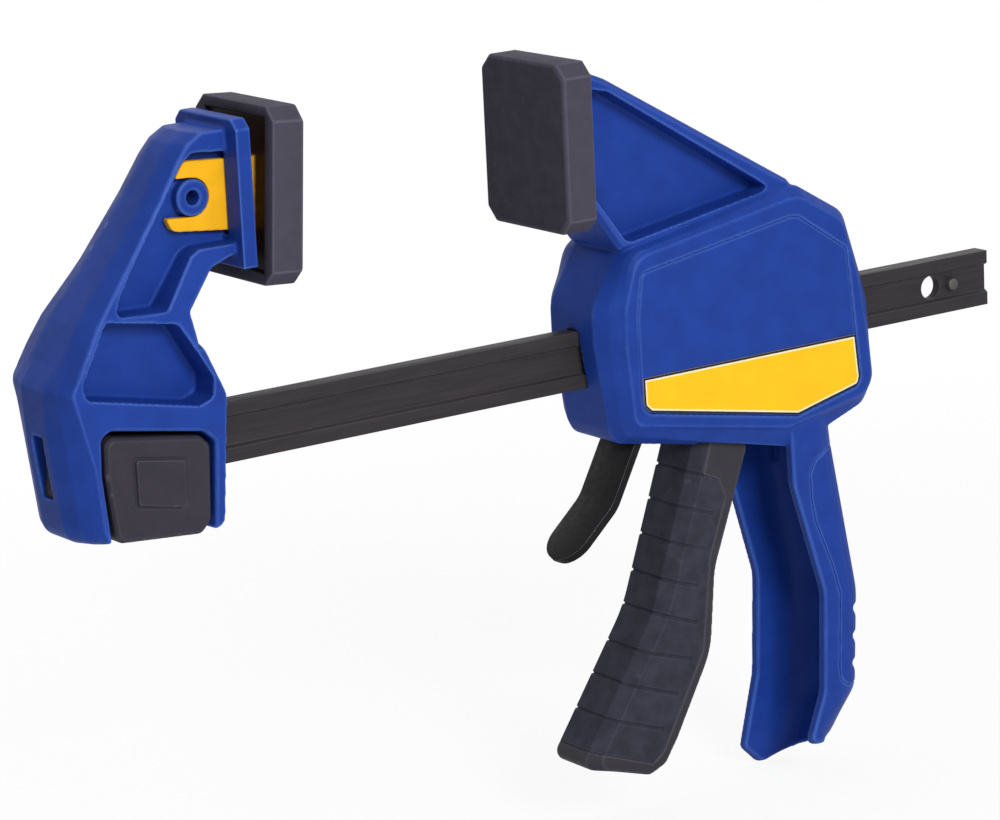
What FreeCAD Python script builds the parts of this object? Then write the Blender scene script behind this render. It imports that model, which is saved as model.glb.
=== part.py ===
"""Quick release bar clamp, held open.

The frame is in millimetres. +X runs along the bar towards its free end, +Z is the side
the jaws stand on, and the near side is -Y. The origin is the centre of the hole through
the free end of the bar, on the bar's own axis.
"""
import FreeCAD
import Part
import math
import os

Vector = FreeCAD.Vector

# Bar: an I section with a hole near each end and a stop pin at the free end
bar_length = 388.0
bar_height = 20.0
bar_width = 6.5
web_thickness = 3.4
flange_height = 4.6
flange_taper = 0.9
end_hole_r = 4.25
end_hole_inset = 26.0
latch_hole_inset = 28.0
stop_inset = 16.7
stop_pin_r = 2.1
stop_proud = 0.9
stop_pin_bevel = 0.4

# Fits
socket_clearance = 0.12
slide_clearance = 0.3
seat_clearance = 0.3
pin_clearance = 0.06
edge_relief = 0.3
fine_edge_r = 0.1
arc_share = 0.46
overrun = 20.0

# Fixed jaw moulding: outline shares run along X from the latch hole and along Z from the bar axis
fixed_length = 60.0
fixed_height = 125.0
fixed_half_width = 19.5
fixed_crown_half = 7.0
block_centre_shares = [(0.392, -0.210), (0.462, 0.140), (0.292, 0.306), (-0.380, 0.306),
                       (-0.535, 0.208), (-0.522, 0.060), (-0.455, -0.194)]
block_side_shares = [(0.385, -0.206), (0.447, 0.136), (0.330, 0.262), (-0.398, 0.262),
                     (-0.472, 0.208), (-0.368, 0.008), (-0.330, -0.188)]
block_radius_shares = [0.06, 0.12, 0.02, 0.02, 0.08, 0.12, 0.10]
block_crown_shares = [(0.50, 0.30), (0.83, 0.70)]
neck_level_shares = [(0.240, -0.436, 0.310, 0.996), (0.290, -0.374, 0.300, 0.982),
                     (0.357, -0.288, 0.278, 0.910), (0.456, -0.114, 0.450, 0.785),
                     (0.474, -0.084, 0.565, 0.765), (0.484, -0.066, 0.645, 0.754),
                     (0.640, 0.180, 0.645, 0.672), (0.733, 0.310, 0.645, 0.628),
                     (0.770, 0.376, 0.645, 0.608), (0.795, 0.466, 0.645, 0.595)]
neck_bulge = 2.4
neck_crown_share = 0.5
neck_shoulder_r = 13.5
neck_edge_r = 1.2
neck_front_r = 1.1
upper_pocket_shares = [(0.140, 0.368), (0.330, 0.492), (0.385, 0.506), (0.750, 0.506), (0.750, 0.733),
                       (0.400, 0.748), (0.330, 0.722), (-0.125, 0.420), (-0.170, 0.375)]
lower_pocket_shares = [(0.275, 0.119), (0.363, 0.133), (0.373, 0.184), (0.190, 0.334),
                       (-0.230, 0.368), (-0.410, 0.227), (-0.390, 0.186)]
pocket_corner_r = 2.6
upper_web_half = 6.4
lower_web_half = 8.0

# Release button in the fixed jaw
button_window_shares = [(0.262, -0.260), (0.330, -0.192), (0.360, 0.021), (0.290, 0.051),
                        (-0.260, 0.098), (-0.320, 0.083), (-0.327, -0.016), (-0.282, -0.260)]
button_face_shares = [(0.250, -0.213), (0.313, -0.183), (0.334, 0.014), (0.278, 0.040),
                      (-0.252, 0.080), (-0.297, 0.067), (-0.303, -0.018), (-0.262, -0.193)]
button_square_shares = [(0.128, -0.130), (0.163, -0.122), (0.163, -0.010), (-0.130, 0.014),
                        (-0.130, -0.104)]
button_window_bevel = 0.7
button_sink = 0.4
button_bevel = 1.1
button_square_rise = 0.9
button_groove_width = 0.8
button_groove_depth = 0.5
button_corner_r = 3.0
button_block_depth = 10.6
button_travel = 4.2
button_arm_half = 8.6
button_bridge_height = 8.6
button_arm_thickness = 4.0
button_arm_gap = 1.25
button_wall = 3.1
latch_pin_r = 4.0
latch_pin_lead = 1.0
button_arm_rise = 5.4
button_room_depth = 31.2
button_room_gap = 0.6
button_square_r = 1.1
button_spring_wire = 0.7
button_spring_turns = 4
button_spring_gap = 0.12

# Swivel boss, flange plate and pads
boss_reach = 24.4
boss_height = 79.0
boss_r = 5.9
boss_hole_r = 2.4
boss_proud = 3.9
flange_from_boss = 12.1
flange_thickness = 5.4
flange_plate_height = 47.6
flange_plate_half_width = 18.5
flange_corner = 3.2
swivel_limit_deg = 5.4
pad_tilt_deg = 4.2
pad_face_from_boss = 32.9
pad_height = 57.2
pad_width = 47.2
pad_thickness = 11.8
pad_corner = 4.6
pad_edge = 0.8
pad_socket_depth = 4.5
pad_end_wall = 3.6
pad_side_wall = 5.3
pad_drop = 2.7
carrier_thickness = 2.5
hook_thickness = 3.0
hook_half_height = 11.6
hook_tail = 3.2
hook_tip_r = 2.2
hook_heel_r = 4.4
hook_mouth_r = 0.5
mount_plate_thickness = 6.0

# Place of the moving jaw: its share of the travel from closed pads to the stop pin
opening_share = 0.67622
stop_gap = 0.8

# Moving jaw: outline shares run from the nose of the housing and from the bar axis
nose_from_pad = 16.9
housing_length = 117.0
housing_height = 93.0
housing_half_width = 20.5
housing_crown_half = 12.0
housing_shoulder_half = 16.6
housing_edge = 1.5
housing_rear_share = 0.988
housing_centre_shares = [(0.060, -0.312), (0.701, -0.461), (0.962, -0.345), (0.998, -0.245),
                         (0.985, 0.060), (0.960, 0.170), (0.900, 0.408), (0.725, 0.540),
                         (0.690, 0.535), (0.100, 0.412), (-0.006, 0.199), (-0.005, 0.075),
                         (0.038, -0.258)]
housing_side_shares = [(0.094, -0.252), (0.650, -0.381), (0.955, -0.312), (0.987, -0.245),
                       (0.973, -0.080), (0.947, 0.140), (0.888, 0.390), (0.726, 0.511),
                       (0.679, 0.515), (0.100, 0.396), (0.052, 0.204), (0.049, 0.059),
                       (0.072, -0.220)]
housing_radius_shares = [0.05, 0.06, 0.05, 0.06, 0.12, 0.12, 0.07, 0.10, 0.06, 0.08, 0.10, 0.10, 0.06]
housing_front_places = [0, 9, 10, 11, 12]
panel_shares = [(0.135, -0.200), (0.683, -0.330), (0.920, -0.264), (0.930, -0.230),
                (0.888, 0.275), (0.710, 0.426), (0.679, 0.432), (0.124, 0.325),
                (0.105, 0.151), (0.110, -0.170)]
cavity_shares = [(0.150, -0.157), (0.680, -0.283), (0.885, -0.226), (0.896, -0.204),
                 (0.858, 0.258), (0.699, 0.395), (0.677, 0.400), (0.150, 0.297),
                 (0.135, 0.151), (0.138, -0.140)]
cover_thickness = 2.6
cover_gap = 0.25
cover_edge = 0.5
panel_corner_r = 2.4
band_top_share = -0.063
band_thickness = 0.3
band_margin = 0.3
arm_half_width = 15.5
arm_bevel = 1.7
arm_radius_shares = [0.01, 0.03, 0.02, 0.05, 0.02, 0.04, 0.03, 0.01]
recess_corner_r = 3.4

# The arm's foot runs in shares of the housing. Its head runs in shares of the nose's distance
# from the pad and of the pad's height, from the middle of the pad's back.
arm_foot_shares = [(0.090, 0.405), (0.720, 0.360), (0.722, 0.552)]
arm_head_low_shares = [(0.000, -0.398), (0.506, -0.398)]
arm_head_high_shares = [(0.982, 0.356), (0.639, 0.399), (0.000, 0.406)]
recess_foot_shares = [(0.107, 0.441), (0.130, 0.434), (0.607, 0.529), (0.631, 0.545), (0.594, 0.577)]
recess_head_low_shares = [(0.361, -0.243)]
recess_head_high_shares = [(0.994, 0.282), (0.639, 0.306), (0.361, 0.324)]
arm_web_half = 6.0

# Fixed handle: a channel open towards the trigger, outline shares of its depth and length
handle_root_share = 0.650
handle_root_height_share = -0.323
handle_depth = 35.3
handle_length = 140.0
handle_half_width = 19.2
handle_near_shares = [(0.040, 0.000), (0.068, -0.186), (0.421, -0.479), (0.385, -0.743),
                      (0.180, -0.868), (0.400, -0.874), (0.580, -0.848), (0.970, -0.743),
                      (1.020, -0.500), (0.733, -0.100), (0.690, 0.000)]
handle_far_shares = [(-0.026, 0.000), (0.014, -0.186), (0.339, -0.479), (0.291, -0.743),
                     (0.097, -0.936), (0.330, -0.995), (0.849, -0.970), (0.937, -0.843),
                     (1.000, -0.500), (0.722, -0.100), (0.679, 0.000)]
handle_radius_shares = [0.01, 0.10, 0.12, 0.10, 0.02, 0.03, 0.05, 0.07, 0.20, 0.20, 0.01]
handle_front_points = 6
handle_back_r = 13.0
handle_back_turns_deg = [0.0, 25.0, 45.0, 62.0, 77.0, 90.0]
handle_wall = 3.7
handle_mouth = 20.0
palm_seam_shares = [(0.526, -0.111), (0.359, -0.129), (0.280, -0.164), (0.288, -0.225),
                    (0.336, -0.290), (0.538, -0.416), (0.625, -0.490), (0.589, -0.687),
                    (0.605, -0.722), (0.720, -0.742)]
palm_seam_r = 3.0
palm_thickness = 1.7
palm_notch_r = 3.8
palm_notch_depth = 0.8
palm_notch_turn_deg = 62.0
palm_notch_height_shares = [-0.553, -0.626, -0.698]

# Mechanism inside the housing
trigger_pin_r = 3.0
trigger_pin_inset = 1.7
pivot_shares = (0.479, 0.280)
trigger_half_width = 12.8
trigger_bevel = 4.3
trigger_length = 115.0
trigger_front_shares = [(-0.096, -0.490), (-0.126, -0.560), (-0.296, -1.043), (-0.569, -1.441),
                        (-0.553, -1.472)]
trigger_back_shares = [(-0.352, -1.524), (-0.291, -1.500), (-0.243, -1.430), (-0.104, -1.183),
                       (-0.078, -0.930), (0.058, -0.580), (0.048, -0.490)]
trigger_front_radius_shares = [0.005, 0.035, 0.450, 0.035, 0.035]
trigger_back_radius_shares = [0.035, 0.035, 0.070, 0.270, 0.225, 0.035, 0.005]
grip_seam_shares = [(-0.505, -1.427), (-0.340, -1.490), (-0.300, -1.462), (-0.136, -1.178),
                    (-0.097, -0.887), (-0.030, -0.716), (-0.052, -0.656), (-0.110, -0.630),
                    (-0.086, -0.560), (-0.056, -0.470)]
tongue_shares = [(-0.080, -0.600), (-0.239, -1.043), (-0.452, -1.375), (-0.330, -1.500),
                 (-0.200, -1.400), (-0.050, -1.100), (0.000, -0.800), (0.000, -0.600)]
grip_reach_shares = [(-0.318, -0.470), (-0.705, -1.377)]
grip_seam_r = 0.6
grip_tongue_half = 8.6
grip_tongue_r = 0.75
rib_depth = 0.8
rib_width = 1.1
rib_end_r = 0.36
rib_dot_r = 0.8
rib_shares = [(-0.140, -0.622, -0.110, -0.632), (-0.138, -0.736, -0.081, -0.755),
              (-0.177, -0.839, -0.118, -0.859),
              (-0.219, -0.946, -0.148, -0.970), (-0.257, -1.045, -0.159, -1.082),
              (-0.317, -1.149, -0.183, -1.193), (-0.379, -1.241, -0.239, -1.292),
              (-0.447, -1.336, -0.300, -1.390)]
rib_lead = 8.0
fork_inner_half = 6.0
fork_outer_half = 10.8
fork_eye_r = 7.0
fork_eye_height = 14.0
fork_corner_r = 1.5
fork_shares = [(-0.096, -0.574), (-0.052, -0.296), (-0.061, 0.000), (0.061, 0.000),
               (0.068, -0.226), (0.017, -0.417), (0.061, -0.574)]
fork_nose_reach = 7.6
fork_nose_r = 3.6
fork_bridge_drop = 5.2
plate_thickness = 2.8
plate_half_width = 10.0
plate_rim = 5.6
plate_corner_r = 1.9
plate_gap = 0.1
spring_wire = 1.6
spring_clearance = 0.9
spring_turns = 6
spring_end_gap = 0.35
brake_spring_wire = 1.2

# Brake and release lever: a steel strip bent below the bar
lever_thickness = 2.8
lever_half_width = 9.6
lever_tilt_deg = 6.6
lever_pivot_shares = (0.261, 0.226)
lever_path_shares = [(0.222, -0.194), (0.162, -0.326), (0.063, -0.559), (-0.100, -0.742)]
lever_bend_r = 14.0
lever_knee_r = 8.4
lever_end_r = 1.26
lever_lug_half = 4.6
lever_lug_drop = 1.8
lever_mouth_depth = 5.5
lever_mouth_half = 3.5
lever_roof_bite = 2.4
brake_rib_share = 0.363
brake_rib_thickness = 3.0
brake_spring_turns = 3
brake_spring_gap = 1.4
lever_window_shares = (0.124, 0.291)
trigger_window_share = 0.350
window_clearance = 1.5
window_reach_share = -0.600
window_top_drop = 2.8
window_back_gap = 0.6

# Places worked out from the sizes above
half_bar = bar_height / 2
latch_x = end_hole_inset - bar_length + latch_hole_inset
stop_x = end_hole_inset - stop_inset
boss_x = latch_x + boss_reach
pad_tilt = math.radians(pad_tilt_deg)
pad_back_from_boss = pad_face_from_boss - pad_thickness
fixed_face_x = boss_x + pad_face_from_boss * math.cos(pad_tilt)
furthest_nose_x = stop_x - stop_pin_r - stop_gap - housing_rear_share * housing_length
most_opening = furthest_nose_x - nose_from_pad - fixed_face_x
moving_face_x = fixed_face_x + opening_share * most_opening
nose_x = moving_face_x + nose_from_pad
moving_pad_z = boss_height - pad_drop
arm_front_x = moving_face_x + pad_thickness - pad_socket_depth
handle_x = nose_x + handle_root_share * housing_length
handle_z = handle_root_height_share * housing_height
pivot_x = nose_x + pivot_shares[0] * housing_length
pivot_z = pivot_shares[1] * housing_height
button_arm_low = bar_width / 2 + button_arm_gap
button_arm_high = button_arm_low + button_arm_thickness
carrier_half_height = pad_height / 2 - pad_end_wall - pin_clearance
carrier_half_width = pad_width / 2 - pad_side_wall - pin_clearance


def scaled(shares, x0, run, rise, z0=0.0):
    """Outline points from shares of a run along X and a rise along Z."""
    return [(x0 + across * run, z0 + up * rise) for across, up in shares]


def between(first, second, share):
    """Points part of the way from one outline to another with as many points."""
    return [(a[0] + (b[0] - a[0]) * share, a[1] + (b[1] - a[1]) * share)
            for a, b in zip(first, second)]


def shrunk(points, amount):
    """An outline set in by the same amount all round, listed anticlockwise."""
    count = len(points)
    moved = []
    lines = []
    for i in range(count):
        (ax, az), (bx, bz) = points[i], points[(i + 1) % count]
        length = math.hypot(bx - ax, bz - az)
        nx, nz = -(bz - az) / length, (bx - ax) / length
        lines.append((ax + nx * amount, az + nz * amount, (bx - ax) / length, (bz - az) / length))
    for i in range(count):
        ax, az, adx, adz = lines[i - 1]
        bx, bz, bdx, bdz = lines[i]
        cross = adx * bdz - adz * bdx
        t = ((bx - ax) * bdz - (bz - az) * bdx) / cross
        moved.append((ax + adx * t, az + adz * t))
    return moved


def rounded_ring(corners, radii):
    """Closed flat outline with a tangent arc at each corner."""
    count = len(corners)
    if not isinstance(radii, list):
        radii = [radii] * count
    arcs = []
    for i, corner in enumerate(corners):
        back = corners[i - 1] - corner
        ahead = corners[(i + 1) % count] - corner
        half_turn = (math.pi - back.getAngle(ahead)) / 2
        reach = radii[i] * math.tan(half_turn)
        reach = min(reach, arc_share * back.Length, arc_share * ahead.Length)
        start = corner + back.normalize() * reach
        end = corner + ahead.normalize() * reach
        inward = (back + ahead).normalize()
        radius = reach / math.tan(half_turn)
        middle = corner + inward * (radius / math.cos(half_turn) - radius)
        arcs.append((start, middle, end))
    edges = []
    for i, (start, middle, end) in enumerate(arcs):
        edges.append(Part.Arc(start, middle, end).toShape())
        edges.append(Part.makeLine(end, arcs[(i + 1) % count][0]))
    return Part.Wire(edges)


def rounded_wire(points, radii, y):
    """Rounded outline in the plane at y."""
    return rounded_ring([Vector(x, y, z) for x, z in points], radii)


def slab(points, radii, y_low, y_high):
    """Flat-sided prism between two planes across Y."""
    face = Part.Face(rounded_wire(points, radii, y_low))
    return face.extrude(Vector(0, y_high - y_low, 0))


def lofted(stations, radii):
    """Moulding through outlines at several places across Y."""
    wires = [rounded_wire(points, radii, y) for y, points in stations]
    return Part.makeLoft(wires, True, True)


def mirrored(stations):
    """Stations of both sides from those of one, listed from the middle outwards."""
    return [(-y, points) for y, points in reversed(stations)] + list(stations)


def block(x_low, x_high, y_low, y_high, z_low, z_high):
    size = (x_high - x_low, y_high - y_low, z_high - z_low)
    return Part.makeBox(*size, Vector(x_low, y_low, z_low))


def rod_y(x, z, radius, y_low, y_high):
    return Part.makeCylinder(radius, y_high - y_low, Vector(x, y_low, z), Vector(0, 1, 0))


def turned(shape, x, z, degrees):
    """A copy turned about an axis along +Y through x, z."""
    copy = shape.copy()
    copy.rotate(Vector(x, 0, z), Vector(0, 1, 0), degrees)
    return copy


def flipped(shape):
    """The same piece on the far side."""
    return shape.mirror(Vector(0, 0, 0), Vector(0, 1, 0))


def biarc(start, start_way, end, end_way):
    """Two arcs that join two points and keep the way of travel at both."""
    span = end - start
    ways = start_way + end_way
    bend = 2 * (1 - start_way.dot(end_way))
    along = span.dot(ways)
    reach = (math.sqrt(along ** 2 + bend * span.dot(span)) - along) / bend
    knee_a = start + start_way * reach
    knee_b = end - end_way * reach
    joint = (knee_a + knee_b) * 0.5
    edges = []
    for first, last, knee in ((start, joint, knee_a), (joint, end, knee_b)):
        chord_middle = (first + last) * 0.5
        half_chord = (last - first).Length / 2
        rise = (knee - chord_middle).Length
        sagitta = half_chord * math.tan(math.atan2(rise, half_chord) / 2)
        crown = chord_middle + (knee - chord_middle).normalize() * sagitta
        edges.append(Part.Arc(first, crown, last).toShape())
    return edges


def coil_spring(origin, axis, side, mean_r, wire_d, length, turns):
    """Open coil along an axis, as one tube on quarter-turn biarcs."""
    other = axis.cross(side)
    pitch = (length - wire_d) / turns
    points = []
    for step in range(4 * turns + 1):
        angle = math.pi / 2 * step
        out = side * math.cos(angle) + other * math.sin(angle)
        along = other * math.cos(angle) - side * math.sin(angle)
        way = (along * (2 * math.pi * mean_r) + axis * pitch).normalize()
        rise = wire_d / 2 + pitch * step / 4
        points.append((origin + axis * rise + out * mean_r, way))
    edges = []
    for (start, start_way), (end, end_way) in zip(points, points[1:]):
        edges += biarc(start, start_way, end, end_way)
    ring = Part.Wire(Part.makeCircle(wire_d / 2, points[0][0], points[0][1]))
    gap = pitch - wire_d
    print("spring turn gap %.2f mm" % gap)
    return Part.Wire(edges).makePipeShell([ring], True, False)


# Bar and stop pin


def bar_section(grow):
    """Half-sizes of the bar's rectangle, grown by a clearance."""
    return bar_width / 2 + grow, half_bar + grow


def bar_hole(x_low, x_high, grow):
    """Cutter for a straight window that the bar passes through."""
    half_y, half_z = bar_section(grow)
    return block(x_low, x_high, -half_y, half_y, -half_z, half_z)


def make_bar():
    x_low = end_hole_inset - bar_length
    half_y, half_z = bar_section(0)
    web_y = web_thickness / 2
    groove_z = half_z - flange_height
    points = []
    for sy, sz in ((1, 1), (-1, 1), (-1, -1), (1, -1)):
        corner = [(half_y * sy, half_z * sz), (half_y * sy, groove_z * sz),
                  (web_y * sy, (groove_z - flange_taper) * sz)]
        points += corner if sy * sz < 0 else corner[::-1]
    wire = Part.makePolygon([Vector(x_low, y, z) for y, z in points + points[:1]])
    bar = Part.Face(wire).extrude(Vector(bar_length, 0, 0))
    for x in (latch_x, 0.0):
        bar = bar.cut(rod_y(x, 0, end_hole_r, -overrun, overrun))
    return bar.cut(rod_y(stop_x, 0, stop_pin_r, -overrun, overrun))


def make_stop_pin():
    reach = bar_width / 2 + stop_proud
    pin = rod_y(stop_x, 0, stop_pin_r, -reach, reach)
    ends = [edge for edge in pin.Edges if abs(edge.CenterOfMass.y) > bar_width / 2]
    return pin.makeChamfer(stop_pin_bevel, ends)


# Fixed jaw


def fixed_points(shares):
    return scaled(shares, latch_x, fixed_length, fixed_height)


def make_fixed_block():
    """Foot of the jaw, round the bar and the button."""
    centre = fixed_points(block_centre_shares)
    side = fixed_points(block_side_shares)
    run = fixed_half_width - fixed_crown_half
    stations = [(fixed_crown_half, centre)]
    for across, drop in block_crown_shares:
        stations.append((fixed_crown_half + across * run, between(centre, side, drop)))
    stations.append((fixed_half_width, side))
    radii = [share * fixed_length for share in block_radius_shares]
    return lofted(mirrored(stations), radii)


def make_fixed_neck():
    """Upper part of the jaw, narrower towards the top, with a crowned back."""
    radii = [neck_shoulder_r, neck_edge_r, neck_front_r, neck_front_r, neck_edge_r, neck_shoulder_r]
    rings = []
    for up, back_share, front_share, half_share in neck_level_shares:
        z = up * fixed_height
        half = half_share * fixed_half_width
        crown = neck_crown_share * half
        back = latch_x + back_share * fixed_length
        front = latch_x + front_share * fixed_length
        outline = [(back - neck_bulge, -crown), (back, -half), (front, -half),
                   (front, half), (back, half), (back - neck_bulge, crown)]
        rings.append(rounded_ring([Vector(x, y, z) for x, y in outline], radii))
    return Part.makeLoft(rings, True, True)


def make_fixed_jaw():
    jaw = make_fixed_block().fuse(make_fixed_neck())
    for web, shares in ((upper_web_half, upper_pocket_shares), (lower_web_half, lower_pocket_shares)):
        pocket = slab(fixed_points(shares), pocket_corner_r, web, fixed_half_width + overrun)
        jaw = jaw.cut(pocket).cut(flipped(pocket))
    boss_half = upper_web_half + boss_proud
    jaw = jaw.fuse([make_flange(), rod_y(boss_x, boss_height, boss_r, -boss_half, boss_half)])
    jaw = jaw.cut(rod_y(boss_x, boss_height, boss_hole_r, -overrun, overrun))
    jaw = jaw.cut(hook_slots())
    jaw = jaw.cut(button_space())
    jaw = jaw.cut(bar_hole(latch_x - fixed_length, latch_x + fixed_length, socket_clearance))
    return jaw.removeSplitter()


def make_flange():
    """Plate across the front of the jaw that backs the swivelling pad."""
    x_low = boss_x + flange_from_boss
    half_y = flange_plate_half_width
    half_z = flange_plate_height / 2
    cut = flange_corner
    outline = [(-half_y, -half_z), (half_y, -half_z), (half_y, half_z - cut), (half_y - cut, half_z),
               (cut - half_y, half_z), (-half_y, half_z - cut)]
    corners = [Vector(x_low, y, boss_height + z) for y, z in outline]
    return Part.Face(Part.makePolygon(corners + corners[:1])).extrude(Vector(flange_thickness, 0, 0))


def hook_band(grow):
    """The span across Y that one hook of the pad carrier fills, grown by a clearance."""
    low = upper_web_half + seat_clearance - grow
    return low, low + hook_thickness + 2 * grow


def hook_slots():
    """Windows in the flange plate that the carrier's hooks swing in."""
    x_low = boss_x + flange_from_boss
    lift = (flange_from_boss + flange_thickness) * math.sin(math.radians(swivel_limit_deg))
    half_z = hook_half_height + lift + 2 * seat_clearance
    y_low, y_high = hook_band(seat_clearance)
    slot = block(x_low - seat_clearance, x_low + overrun, y_low, y_high,
                 boss_height - half_z, boss_height + half_z)
    return slot.fuse(flipped(slot))


def button_space():
    """Room in the jaw for the button, its bridge below the bar and its far arm."""
    window = fixed_points(button_window_shares)
    bevel = button_window_bevel
    mouth_depth = button_block_depth + button_travel + button_sink
    mouth = slab(window, button_corner_r, -fixed_half_width - overrun, mouth_depth - fixed_half_width)
    lip = lofted([(-fixed_half_width - bevel, shrunk(window, -2 * bevel)),
                  (-fixed_half_width + bevel, window)], button_corner_r)
    half_x = button_arm_half + button_room_gap
    half_y = fixed_half_width - button_wall
    inner = block(latch_x - half_x, latch_x + half_x, -half_y, half_y,
                  -button_room_depth, button_arm_rise + button_spring_wire)
    return mouth.fuse([lip, inner])


# Release button with its latch pin and spring


def make_button():
    outline = fixed_points(button_face_shares)
    square = fixed_points(button_square_shares)
    front = -fixed_half_width + button_sink
    back = front + button_block_depth
    floor = front + button_groove_depth
    body = lofted([(front, shrunk(outline, button_bevel)), (front + button_bevel, outline),
                   (back, outline)], button_corner_r)
    body = body.cut(slab(shrunk(square, -button_groove_width), button_square_r, front - overrun, floor))
    raised = slab(square, button_square_r, front - button_square_rise, floor)
    bridge_low = min(z for x, z in outline)
    bridge_high = bridge_low + button_bridge_height
    half_x = button_arm_half
    bridge = block(latch_x - half_x, latch_x + half_x, back - button_bevel, button_arm_high,
                   bridge_low, bridge_high)
    arm = block(latch_x - half_x, latch_x + half_x, button_arm_low, button_arm_high,
                bridge_low, button_arm_rise)
    arm = arm.cut(rod_y(latch_x, 0, latch_pin_r, -overrun, overrun))
    return body.fuse([raised, bridge, arm]).removeSplitter()


def make_latch_pin():
    tip = -web_thickness / 2 - latch_pin_lead / 2
    pin = rod_y(latch_x, 0, latch_pin_r, tip, button_arm_high)
    tip_edges = [edge for edge in pin.Edges if edge.CenterOfMass.y < tip + latch_pin_lead]
    return pin.makeChamfer(latch_pin_lead, tip_edges)


def make_button_spring():
    start = button_arm_high + button_spring_gap
    end = fixed_half_width - button_wall - button_spring_gap
    return coil_spring(Vector(latch_x, start, 0), Vector(0, 1, 0), Vector(1, 0, 0),
                       latch_pin_r - button_spring_wire, button_spring_wire, end - start,
                       button_spring_turns)


# Pads and the swivelling carrier of the fixed one


def make_pad(face_x, centre_z):
    """Rubber cap whose working face looks along +X, open at the back."""
    half_y = pad_width / 2
    half_z = pad_height / 2
    back_x = face_x - pad_thickness
    rings = []
    for x, shrink in ((back_x, 0.0), (face_x - pad_edge, 0.0), (face_x, pad_edge)):
        y, z, cut = half_y - shrink, half_z - shrink, pad_corner
        outline = [(y - cut, -z), (y, cut - z), (y, z - cut), (y - cut, z),
                   (cut - y, z), (-y, z - cut), (-y, cut - z), (cut - y, -z)]
        corners = [Vector(x, a, centre_z + b) for a, b in outline]
        rings.append(Part.makePolygon(corners + corners[:1]))
    cap = Part.makeLoft(rings, True, True)
    socket_y = half_y - pad_side_wall
    socket_z = half_z - pad_end_wall
    socket = block(back_x - overrun, back_x + pad_socket_depth, -socket_y, socket_y,
                   centre_z - socket_z, centre_z + socket_z)
    return cap.cut(socket)


def make_fixed_pad():
    pad = make_pad(boss_x + pad_face_from_boss, boss_height)
    return turned(pad, boss_x, boss_height, pad_tilt_deg)


def make_carrier():
    """Plate in the fixed pad with two hooks that ride on the jaw's boss."""
    front_x = boss_x + pad_back_from_boss + pad_socket_depth
    back_x = front_x - carrier_thickness
    plate = block(back_x, front_x, -carrier_half_width, carrier_half_width,
                  boss_height - carrier_half_height, boss_height + carrier_half_height)
    slot_r = boss_r + seat_clearance
    y_low, y_high = hook_band(0)
    half = hook_half_height
    root = back_x + carrier_thickness / 2
    tail = slot_r + hook_tail
    outline = [(root, boss_height - half), (root, boss_height + half),
               (boss_x - slot_r / 2, boss_height + half), (boss_x - slot_r, boss_height + slot_r),
               (boss_x - slot_r, boss_height), (boss_x - tail, boss_height - slot_r),
               (boss_x - tail + hook_tip_r, boss_height - half + hook_tip_r / 2)]
    radii = [edge_relief, edge_relief, hook_tip_r, hook_mouth_r, hook_mouth_r, hook_tip_r, hook_heel_r]
    hook = slab(outline, radii, y_low, y_high)
    hook = hook.cut(rod_y(boss_x, boss_height, slot_r, y_low - overrun, y_high + overrun))
    hook = hook.cut(block(boss_x - tail - overrun, boss_x, y_low - overrun, y_high + overrun,
                          boss_height - slot_r, boss_height + slot_r))
    carrier = plate.fuse([hook, flipped(hook)]).removeSplitter()
    return turned(carrier, boss_x, boss_height, pad_tilt_deg)


def make_moving_pad():
    """The same cap, turned to face the fixed one."""
    pad = make_pad(0.0, moving_pad_z)
    pad.rotate(Vector(0, 0, 0), Vector(0, 0, 1), 180)
    pad.translate(Vector(moving_face_x, 0, 0))
    return pad


# Moving jaw moulding


def housing_points(shares):
    return scaled(shares, nose_x, housing_length, housing_height)


def pivot_points(shares):
    """Trigger outline points, as shares of its length from the pivot."""
    return scaled(shares, pivot_x, trigger_length, trigger_length, pivot_z)


def handle_points(shares):
    return scaled(shares, handle_x, handle_depth, handle_length, handle_z)


def head_points(shares):
    """Points of the arm's head, from the middle of the moving pad's back."""
    return scaled(shares, arm_front_x, nose_from_pad, pad_height, moving_pad_z)


def make_housing_shell():
    centre = housing_points(housing_centre_shares)
    side = housing_points(housing_side_shares)
    half_way = (housing_shoulder_half - housing_crown_half) / (housing_half_width - housing_crown_half)
    shoulder = [between([a], [b], half_way if i in housing_front_places else 0.0)[0]
                for i, (a, b) in enumerate(zip(centre, side))]
    stations = [(housing_crown_half, centre), (housing_shoulder_half, shoulder),
                (housing_half_width - housing_edge, side),
                (housing_half_width, shrunk(side, housing_edge))]
    radii = [share * housing_length for share in housing_radius_shares]
    return lofted(mirrored(stations), radii)


def make_arm():
    points = head_points(arm_head_low_shares) + housing_points(arm_foot_shares)
    points += head_points(arm_head_high_shares)
    radii = [share * housing_length for share in arm_radius_shares]
    wide = arm_half_width
    arm = lofted(mirrored([(wide - arm_bevel, points), (wide, shrunk(points, arm_bevel))]), radii)
    hollow = head_points(recess_head_low_shares) + housing_points(recess_foot_shares)
    hollow += head_points(recess_head_high_shares)
    recess = slab(hollow, recess_corner_r, arm_web_half, arm_half_width + overrun)
    arm = arm.cut(recess).cut(flipped(recess))
    mount_plate = block(arm_front_x, arm_front_x + mount_plate_thickness,
                        -carrier_half_width, carrier_half_width,
                        moving_pad_z - carrier_half_height, moving_pad_z + carrier_half_height)
    return arm.fuse(mount_plate)


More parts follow.
